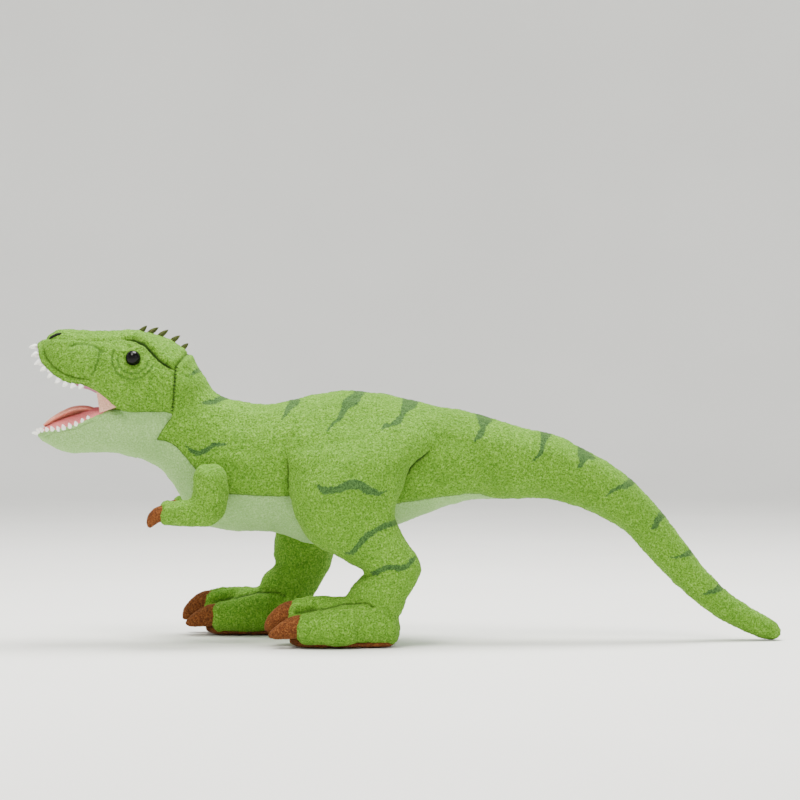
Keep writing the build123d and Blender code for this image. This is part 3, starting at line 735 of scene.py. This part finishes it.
def plush(name, deep, mid, light, sheen, marks=False, grain=1.3, depth=0.55):
    """Short pile: fine light and dark flecks, a soft sheen, on the green skin the printed marks, and painted
    shade in seams and creases.
    """
    s = Shader(name, 0.92, sheen, light, 0.35, specular=0.2)
    grains = s.noise(grain, 3.0, 0.65)
    colour = s.mix(s.ranged(grains, 0.36, 0.64), deep, mid)
    colour = s.mix(s.ranged(s.noise(grain * 1.4, 2.0), 0.48, 0.72, 0.0, 0.5), colour, light)
    colour = s.mix(s.ranged(s.noise(26), 0.35, 0.7, 0.0, 0.22), colour, deep)
    if marks:
        edge = s.add(s.value_of("stripe"), s.ranged(s.noise(1.6), 0.3, 0.7, -0.45, 0.45))
        sage = s.mix(s.ranged(grains, 0.38, 0.62), (34, 62, 30), (64, 98, 48))
        colour = s.mix(s.ranged(edge, -0.35, 0.35, 0.92, 0.0), colour, sage)
        line = s.add(s.value_of("drawn"), s.ranged(s.noise(1.3), 0.3, 0.7, -0.25, 0.25))
        colour = s.mix(s.ranged(line, 0.35, 1.15, 0.62, 0.0), colour, (44, 78, 20))
    # painted shade: the attribute darkens the seams, creases and folds towards a deep green
    colour = s.mix(s.ranged(s.value_of("painted_shade"), 0.1, 0.95, 0.0, 0.88), colour, (14, 26, 6))
    return s.finish(colour, s.add(s.noise(grain * 0.75, 2.0), grains), depth, 0.8)


def felt(name, dark, light, sheen=0.2, grain=0.7, depth=0.15, rough=0.9):
    s = Shader(name, rough, sheen, light, 0.5, specular=0.25)
    fibres = s.noise(grain, 3.0, 0.6)
    colour = s.mix(s.ranged(fibres, 0.35, 0.65), dark, light)
    # painted shade: the felt darkens in the seams and creases where shade falls
    colour = s.mix(s.ranged(s.value_of("painted_shade"), 0.1, 0.95, 0.0, 0.8), colour, (40, 20, 18))
    return s.finish(colour, fibres, depth, 0.5)


def moulded(name, colour, other, rough):
    s = Shader(name, rough, specular=0.15)
    return s.finish(s.mix(s.ranged(s.noise(2.5), 0.3, 0.7), colour, other))


green = plush("green_plush", (60, 102, 18), (104, 152, 42), (148, 192, 80), 0.3, marks=True, grain=1.0)
pale_green = plush("pale_plush", (116, 156, 86), (142, 180, 110), (168, 202, 138), 0.25, grain=0.9, depth=0.2)
brown = plush("brown_plush", (66, 34, 14), (112, 62, 26), (160, 100, 50), 0.25, grain=0.9, depth=0.25)
palate_felt = felt("palate_lining", (150, 88, 112), (184, 122, 142))
floor_felt = felt("floor_lining", (204, 104, 108), (230, 140, 138))
tongue_felt = felt("tongue_felt", (206, 132, 112), (232, 164, 142))
web_felt = felt("web_lining", (206, 152, 132), (230, 184, 162))
white_felt = felt("white_felt", (232, 232, 226), (252, 252, 248), 0.2)
olive_felt = felt("olive_felt", (50, 56, 24), (86, 92, 48))
thread = felt("dark_thread", (10, 12, 8), (26, 28, 20), 0.1, 0.5)
green_thread = felt("green_thread", (24, 44, 8), (44, 70, 18), 0.1, 0.5)
black_eye = moulded("black_eye", (3, 3, 4), (7, 6, 6), 0.05)
washer_plastic = moulded("washer_plastic", (206, 206, 200), (226, 226, 220), 0.45)


# ---- pieces: blends run from one body to another between two points, in metres ----
NECK_BLEND = ("torso", "head", (-0.112, 0, 0.112), (-0.155, 0, 0.150))
JAW_BLEND = ("head", "jaw", (-0.181, 0, 0.121), (-0.204, 0, 0.1279))
WEB_BLEND = ("head", "jaw", (-0.2, 0, 0.1645), (-0.2, 0, 0.1535))
TAIL_BLEND = ("torso", "tail", (0.028, 0, 0.122), (0.074, 0, 0.119))
TIP_BLEND = ("tail", "tail_tip", (0.1366, 0, 0.0981), (0.1634, 0, 0.0739))


def place(name, verts, faces, material, moves, stands_for=(), fill=None, attributes=None, own_normals=None):
    """Makes one piece, in its own material, that rides on a body, or stays where it is when given a blend
    between two.
    """
    mesh = as_mesh(name, verts, faces)
    mesh.shade_smooth()
    for key, values in (attributes or {}).items():
        mesh.attributes.new(key, "FLOAT", "POINT").data.foreach_set("value", np.asarray(values, np.float32))
    if own_normals is not None:
        mesh.normals_split_custom_set_from_vertices(own_normals.tolist())
    mesh.materials.append(material)
    made = linked(name, mesh)
    if isinstance(moves, str):
        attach(made, moves)
    else:
        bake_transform(made)
    if stands_for:
        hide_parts(*stands_for)


def plain(verts, painted_shade_level=0.0):
    """The marks of a piece without printed marks, with an even painted shade where one is given."""
    far = np.full(len(verts), 9.0)
    return {"stripe": far, "drawn": far, "painted_shade": np.full(len(verts), painted_shade_level)}


def skin_piece(name, material, moves, stands_for, fill=0.8, rim=2.4):
    """One panel of the sewn skin, with its cut edge turned in."""
    used, flat = np.unique(tris[names == name], return_inverse=True)
    faces = flat.reshape(-1, 3)
    lip_points, index = np.unique(rim_of(faces), return_inverse=True)
    upper = len(used) + index.reshape(-1, 2)
    lower = upper + len(lip_points)
    strips = [[upper[:, 1], upper[:, 0], lower[:, 0]], [upper[:, 1], lower[:, 0], lower[:, 1]]]
    faces = np.concatenate([faces] + [np.stack(strip, 1) for strip in strips])
    source = np.concatenate([used, used[lip_points], used[lip_points]])
    verts, turned = skin[source], normals[source]
    verts[-len(lip_points):] -= turned[-len(lip_points):] * rim
    values = {"stripe": stripe[source], "drawn": drawn[source], "painted_shade": painted_shade[source]}
    place(name, verts, faces, material, moves, stands_for, fill, values, turned)


for side in SIDES:
    leg_blend = ("torso", f"leg_{side}", (-0.037, 0, 0.138), (-0.037, 0, 0.088))
    for name, moves, panels in (
        ("torso_skin", NECK_BLEND, ("torso_panel", "neck_panel")),
        ("head_skin", "head", ("head_panel",)),
        ("tail_skin", TAIL_BLEND, ("tail_panel",)),
        ("tail_tip_skin", TIP_BLEND, ("tail_tip_panel",)),
        ("leg_outer_skin", leg_blend, ("leg_outer_panel",)),
        ("leg_inner_skin", leg_blend, ("leg_inner_panel", "leg_stuffing")),
    ):
        skin_piece(f"{name}_{side}", green, moves, [f"{panel}_{side}" for panel in panels])
skin_piece("crown_skin", green, "head", ("crown_panel", "head_stuffing"))
skin_piece("jaw_skin", pale_green, JAW_BLEND, ("jaw_panel", "jaw_stuffing"))
skin_piece("belly_skin", pale_green, NECK_BLEND, ("belly_panel", "throat_panel"))
skin_piece("vent_skin", pale_green, TAIL_BLEND, ("tail_stuffing", "tail_tip_stuffing"))
skin_piece("palate_lining", palate_felt, "head", ("palate",), None, 1.2)
skin_piece("floor_lining", floor_felt, JAW_BLEND, ("mouth_floor",), None, 1.2)

# a core under the skin closes the view where a leg or the neck opens a gap; it is thinner between the arms
CORE_GAP, CHEST_GAP = 3.2, 5.2
core_rows = []
for px, pz, lean, half_height, half_width in SPINE[2:8]:
    gap = CHEST_GAP if px < -90 else CORE_GAP
    core_rows.append((px, pz, lean, half_height - CORE_GAP, half_width - gap))
core_verts, core_faces = tube(core_rows)
# the core is lightly darkened with painted shade, like skin seen deep in a fold
core_marks = plain(core_verts, 0.15)
stuffed = ("torso_stuffing", "neck_stuffing")
place("torso_core", core_verts, core_faces, green, "torso", stuffed, 0.8, core_marks)


def soft_form(name, parts, voxel, rounds, material, moves, stands_for, fill, nap_size, bumps=()):
    """A small stuffed form fused from tubes, eased, with a little pile of its own."""
    verts, own = fused(parts, voxel)
    verts = relax(verts, edges_of(own)[0], rounds)
    way = normals_of(verts, own)
    offset = nap_size * rng.normal(size=len(verts)) + nap_size * ripple(verts, 3.0)
    for bump in bumps:
        offset = offset + bump(verts)
    verts = verts + way * offset[:, None]
    place(name, verts, own, material, moves, stands_for, fill, plain(verts))


CLAW_MIDDLE = [
    (-71, 21, 180, 9, 6.5), (-78, 20.5, 186, 8.8, 6.2), (-84.5, 17.5, 210, 6.6, 5),
    (-89.5, 13, 235, 4, 3.4), (-91.4, 9.8, 250, 1.6, 1.5),
]
CLAW_SIDE = [
    (-64, 14.2, 180, 7.6, 6.4), (-73, 13.8, 188, 7.4, 6.2), (-81, 11.2, 200, 5.4, 4.6),
    (-87, 8.8, 205, 3, 2.8), (-89.5, 7.9, 205, 1.1, 1.1),
]
FINGER = [
    (-157, 87, -172, 5.4, 3.8, 47), (-162.5, 85.2, -152, 4.8, 3.4, 47), (-166.2, 80.6, -122, 3, 2.5, 47),
    (-167, 77.6, -105, 1.2, 1.1, 47),
]
SOLE = [
    (-8, 3.4, 180, 1.2, 4), (-11, 3, 180, 2.4, 8.5), (-20, 2.7, 180, 2.5, 12.5),
    (-44, 2.6, 180, 2.5, 15.5), (-60, 2.9, 180, 2.8, 16), (-70, 3.6, 180, 3.4, 13.5),
    (-76.5, 4.8, 180, 2.4, 7),
]
FINGER_SPACING = 4.2


def elbow_folds(verts):
    """Soft puckers inside the elbow."""
    fold = to_line(verts[:, [0, 2]], [(-139, 96), (-134, 93), (-129, 90)])
    return -0.7 * np.exp(-((fold / 1.6) ** 2))


def arm_swells(verts):
    return 0.3 * ripple(verts, 11)


for side, sign in SIDES.items():
    ahead = HOCK_X[side] - HOCK_X["left"]
    arm, leg = f"arm_{side}", f"leg_{side}"
    arm_form = [tube(moved(ARM, 0, sign), step=1.5)]
    covered = (f"arm_cover_{side}", f"arm_stuffing_{side}")
    soft_form(f"arm_skin_{side}", arm_form, 1.1, 4, green, arm, covered, 0.8, 0.14, [elbow_folds, arm_swells])
    fingers = [moved(FINGER, 0, sign, dy) for dy in (-FINGER_SPACING, FINGER_SPACING)]
    fingers = [tube(rows, step=1.0, around=32) for rows in fingers]
    soft_form(f"arm_claws_{side}", fingers, 0.6, 2, brown, arm, (f"arm_claws_{side}",), 0.6, 0.05)
    claws = [moved(CLAW_MIDDLE, ahead, sign)]
    claws += [moved(CLAW_SIDE, ahead, sign, dy) for dy in (-TOE_SPACING, TOE_SPACING)]
    claws = [tube(rows, step=1.2, around=40) for rows in claws]
    soft_form(f"toe_claws_{side}", claws, 0.8, 2, brown, leg, (f"toe_claws_{side}",), 0.7, 0.06)
    sole = tube(moved(SOLE, ahead, sign), low=[(-200, 0.15), (200, 0.15)], step=1.5, power=2.3)
    soft_form(f"sole_{side}", [sole], 1.0, 1, brown, leg, (f"sole_{side}",), 0.3, 0.04)

# ---- felt, thread and plastic ----
skin_tree = BVHTree.FromPolygons([Vector(v) for v in skin], tris.tolist())


def on_skin_at(px, pz, sign):
    """The point of the skin straight in from one side, and its outward direction."""
    hit, way, _, _ = skin_tree.ray_cast(Vector((px, sign * 120, pz)), Vector((0, -sign, 0)))
    return (np.array(hit), np.array(way)) if hit is not None else (None, None)


def thorn(base, way, wide, length, half_width, half_depth, around=12):
    """A small pointed felt form from its base along a direction."""
    way = way / np.linalg.norm(way)
    wide = wide - way * (wide @ way)
    wide = wide / np.linalg.norm(wide)
    deep = np.cross(way, wide)
    turn = np.linspace(0, 2 * np.pi, around, endpoint=False)[:, None]
    taper = ((0.0, 1.0), (0.25, 0.88), (0.5, 0.64), (0.75, 0.36), (0.92, 0.14))
    rings = []
    for share, size in taper:
        depth = half_depth * (0.35 + 0.65 * size)
        ring = wide * half_width * size * np.cos(turn) + deep * depth * np.sin(turn)
        rings.append(base + way * length * share + ring)
    ends = [[base - way * 0.5], [base + way * length]]
    return np.concatenate(rings + ends), ring_faces(len(taper), around)


# teeth: (x, z, y of the root on the left side, x and z from root to point)
UPPER_TEETH = [
    (-246.3, 195.8, 2.8, -5.6, -1.4), (-245.3, 191, 7.8, -5.0, -2.6), (-242.3, 185.8, 11.6, -4.9, -2.8),
    (-238.3, 181.3, 15.2, -4.4, -3.0), (-233.3, 177.4, 18.8, -4.0, -3.4), (-228, 174.4, 21.6, -3.8, -3.4),
    (-223.3, 172.2, 23.2, -3.3, -3.7), (-218.3, 170.6, 24.8, -2.9, -3.8), (-213.3, 169.8, 26, -2.4, -3.7),
]
LOWER_TEETH = [
    (-246.3, 138.6, 2.0, -4.6, 0.6), (-244.6, 139.4, 5.2, -2.6, 2.6), (-241.8, 140, 8, -2.0, 2.7),
    (-238.3, 140.4, 10.7, -1.6, 2.6), (-234.6, 141, 13, -1.4, 2.8), (-230.8, 141.6, 15, -1.2, 2.6),
    (-226.8, 142.4, 17, -1.0, 2.8), (-222.6, 143.6, 18.6, -1, 2.6), (-218.4, 145, 19.8, -0.9, 2.7),
    (-214.2, 147, 20.6, -0.8, 2.5), (-210.2, 149, 21.2, -0.8, 2.3),
]


def tooth_row(rows, half_width, up, proud):
    """Felt teeth along both sides of a lip, set on the skin."""
    parts = []
    for sign in (-1, 1):
        for tx, tz, ty, dx, dz in rows:
            base = np.array(skin_tree.find_nearest(Vector((tx, sign * ty, tz)))[0])
            out = np.array([dx, sign * (1.0 + 0.06 * ty), dz])
            along = np.array([1.0, sign * (0.9 if ty < 10 else 0.35), 0.0])
            root = base + out / np.linalg.norm(out) * proud - np.array([0, 0, 0.4 * up])
            parts.append(thorn(root, out, along, math.hypot(dx, dz) - 0.9 * proud, half_width, 1.5))
    return merged(parts)


place("upper_teeth", *tooth_row(UPPER_TEETH, 2.2, -1, 1.3), white_felt, "head", ("upper_teeth",))
place("lower_teeth", *tooth_row(LOWER_TEETH, 1.9, 1, -1.0), white_felt, "jaw", ("lower_teeth",))

TONGUE = [
    (-242, 143, 30, 1.0, 3.5), (-237.5, 146, 32, 1.7, 7), (-230, 150.4, 26, 2.1, 9),
    (-221, 154, 20, 2.2, 9.8), (-213, 154.4, 4, 1.9, 9.5), (-207, 152.8, -14, 1.5, 7.5),
    (-203.5, 151.6, -20, 1.0, 4.5),
]
tongue_verts, tongue_faces = tube(TONGUE, step=0.8, around=64)
tongue_verts[:, 2] -= 1.3 * np.exp(-((tongue_verts[:, 1] / 1.6) ** 2)) * (tongue_verts[:, 0] > -239)
tongue_verts[:, 2] += 0.05 * ripple(tongue_verts, 4)
place("tongue", tongue_verts, tongue_faces, tongue_felt, "jaw", ("tongue",), 0.4)


def thickened(front, back, faces):
    """A closed form between two like sheets, walled round the rim."""
    n = len(front)
    walls = [[a + n, b + n, b, a] for a, b in rim_of(np.array(faces))]
    return np.concatenate([front, back]), faces + [[c + n for c in face[::-1]] for face in faces] + walls


# crest scales: leaves that stand on the crown and lean back, each from its base to its tip in the side view
LEAVES = [
    ((-179, 204.2), (-173.5, 209.6)), ((-173, 204), (-165.8, 208.4)), ((-166.2, 202), (-159.3, 206.8)),
    ((-157.8, 198.8), (-151.4, 203)), ((-150.6, 193.8), (-146, 197.8)),
]


def leaf(base, tip):
    """A small felt leaf with a raised midrib, its foot sunk into the pile."""
    foot, n = 1.5, 7
    way = np.array([tip[0] - base[0], 0, tip[1] - base[1]])
    length = np.linalg.norm(way)
    way = way / length
    up = np.array([-way[2], 0, way[0]])
    outline = [(0, 0.15), (0.18, 0.75), (0.42, 1.0), (0.68, 0.8), (0.88, 0.42), (1.0, 0.05)]
    start = np.array([base[0], 0, base[1]]) - way * foot
    middle, half = [], []
    for share, size in outline:
        for across in np.linspace(-1, 1, n):
            blade = 0.75 * (1 - 0.55 * abs(across)) * (0.4 + 0.6 * size)
            half.append((0, blade + 0.25 * math.exp(-((across / 0.2) ** 2)), 0))
            middle.append(start + way * (length + foot) * share + up * (across * 1.8 * size))
    middle, half = np.array(middle), np.array(half)
    corners = [i * n + j for i in range(len(outline) - 1) for j in range(n - 1)]
    return thickened(middle + half, middle - half, [[c, c + 1, c + n + 1, c + n] for c in corners])


place("crest_scales", *merged([leaf(*pair) for pair in LEAVES]), olive_felt, "head", ("crest_scales",))


def cord_on_skin(points, sign, radius, lift, flat=1.0, around=10):
    """A short bead of thread laid on the skin through points of the side view."""
    steps = smooth_through([(*p, 0) for p in points], 0.8)
    rows = []
    for i, (px, pz, _) in enumerate(steps):
        hit, way = on_skin_at(px, pz, sign)
        if hit is None:
            continue
        share = min(max(i / (len(steps) - 1), 0.04), 0.96)
        rows.append((hit + way * lift, way, radius * (0.35 + 0.65 * math.sin(math.pi * share) ** 0.5)))
    turn = np.linspace(0, 2 * np.pi, around, endpoint=False)[:, None]
    rings = []
    for i, (centre, way, size) in enumerate(rows):
        ahead = rows[min(i + 1, len(rows) - 1)][0] - rows[max(i - 1, 0)][0]
        beside = np.cross(ahead / max(np.linalg.norm(ahead), 1e-9), way)
        rings.append(centre + beside * size * np.cos(turn) + way * size * flat * np.sin(turn))
    return np.concatenate(rings + [[rows[0][0]], [rows[-1][0]]]), ring_faces(len(rows), around)


NOSTRIL = [(-237.3, 200.6), (-233.5, 202.6), (-229.2, 203.9)]
nostrils = [cord_on_skin(NOSTRIL, sign, 1.3, 0.2, 0.7) for sign in (-1, 1)]
place("nostril_stitches", *merged(nostrils), thread, "head", ("nostril_stitches",))
stitches = []
for sign in (-1, 1):
    seam = smooth_through([(-151.8, 181.5), (-152.9, 170), (-153.2, 160), (-154.3, 153)], 2.5)
    for px, pz in seam[:, :2]:
        across = [(px - 0.9, pz + 0.3), (px, pz), (px + 0.9, pz - 0.3)]
        stitches.append(cord_on_skin(across, sign, 0.42, 0.12))
place("seam_stitches", *merged(stitches), green_thread, "head")

# the lining that shows between the lips at each corner of the mouth
WEB_CORNERS = np.array([(-204.8, 166.8), (-191.2, 155.2), (-202.4, 151.6)])
WEB_THICKNESS = 1.2


def mouth_web(sign, n=12):
    """A thin triangle of lining, hollowed between the upper lip, the corner and the lower lip."""
    spots = [(i, j) for i in range(n + 1) for j in range(n + 1 - i)]
    number = {spot: k for k, spot in enumerate(spots)}
    verts, faces = [], []
    for i, j in spots:
        u, v = i / n, j / n
        px, pz = WEB_CORNERS[0] * (1 - u - v) + WEB_CORNERS[1] * u + WEB_CORNERS[2] * v
        hollow = 1.6 * math.sin(math.pi * min(1, max(0, v + u * 0.5)))
        verts.append((px, sign * (25.2 - 0.16 * (-192 - px) - hollow), pz))
        if i + j < n:
            faces.append([number[i, j], number[i + 1, j], number[i, j + 1]])
        if i + j < n - 1:
            faces.append([number[i + 1, j], number[i + 1, j + 1], number[i, j + 1]])
    verts = np.array(verts)
    return thickened(verts, verts - np.array([0, sign * WEB_THICKNESS, 0]), faces)


for side, sign in SIDES.items():
    place(f"mouth_web_{side}", *mouth_web(sign), web_felt, WEB_BLEND)

# ---- CAD nodes that stay: the moulded eyes and their lock washers ----
for side in SIDES:
    for node, finish in ((f"eye_{side}", black_eye), (f"eye_washer_{side}", washer_plastic)):
        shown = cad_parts[node].data.materials
        shown.clear()
        shown.append(finish)

# ---- studio: a round floor in metres that sweeps up into a wall ----
FLAT, SWEEP, around = 2.4, 0.9, 96
profile = [(r, 0.0) for r in (0.02, 0.8, 1.6, FLAT)]
for t in np.linspace(0.1, math.pi / 2, 12):
    profile.append((FLAT + SWEEP * math.sin(t), SWEEP - SWEEP * math.cos(t)))
profile += [(FLAT + SWEEP, 2.0), (FLAT + SWEEP, 3.2)]
turns = [2 * math.pi * j / around for j in range(around)]
floor_verts = [(r * math.cos(t), r * math.sin(t), h) for r, h in profile for t in turns]
floor_faces = [list(range(around))]
for i in range(0, (len(profile) - 1) * around, around):
    for j in range(around):
        k = (j + 1) % around
        floor_faces.append([i + j, i + around + j, i + around + k, i + k])
floor_mesh = bpy.data.meshes.new("studio_floor")
floor_mesh.from_pydata(floor_verts, [], floor_faces)
floor_mesh.shade_smooth()
ground = linked("studio_floor", floor_mesh)
paper = Shader("paper", 0.75)
paper_colour = paper.mix(paper.ranged(paper.noise(400), 0.3, 0.7), (232, 232, 229), (236, 236, 233))
ground.data.materials.append(paper.finish(paper_colour))
world = bpy.context.scene.world or bpy.data.worlds.new("studio")
bpy.context.scene.world = world
world.use_nodes = True
sky = world.node_tree.nodes["Background"].inputs
sky["Color"].default_value = linear((222, 224, 226))
sky["Strength"].default_value = 0.48


def soft_light(name, spot, aim, size, power, tint=(255, 255, 255)):
    lamp = bpy.data.lights.new(name, "AREA")
    lamp.shape = "DISK"
    lamp.size = size
    lamp.energy = power
    lamp.color = linear(tint)[:3]
    made = linked(name, lamp)
    made.location = spot
    made.rotation_euler = (Vector(aim) - Vector(spot)).to_track_quat("-Z", "Y").to_euler()


soft_light("key", (-0.45, -0.75, 1.5), (0, 0, 0.1), 0.6, 22, (255, 250, 240))
soft_light("top", (0.1, 0.3, 1.5), (0, 0, 0.12), 0.8, 42, (255, 253, 248))
soft_light("side", (1.4, -1.2, 0.9), (0, 0, 0.1), 0.9, 6, (244, 248, 255))
soft_light("sweep", (0, 0, 3.0), (0, 0, 0), 3.0, 95)
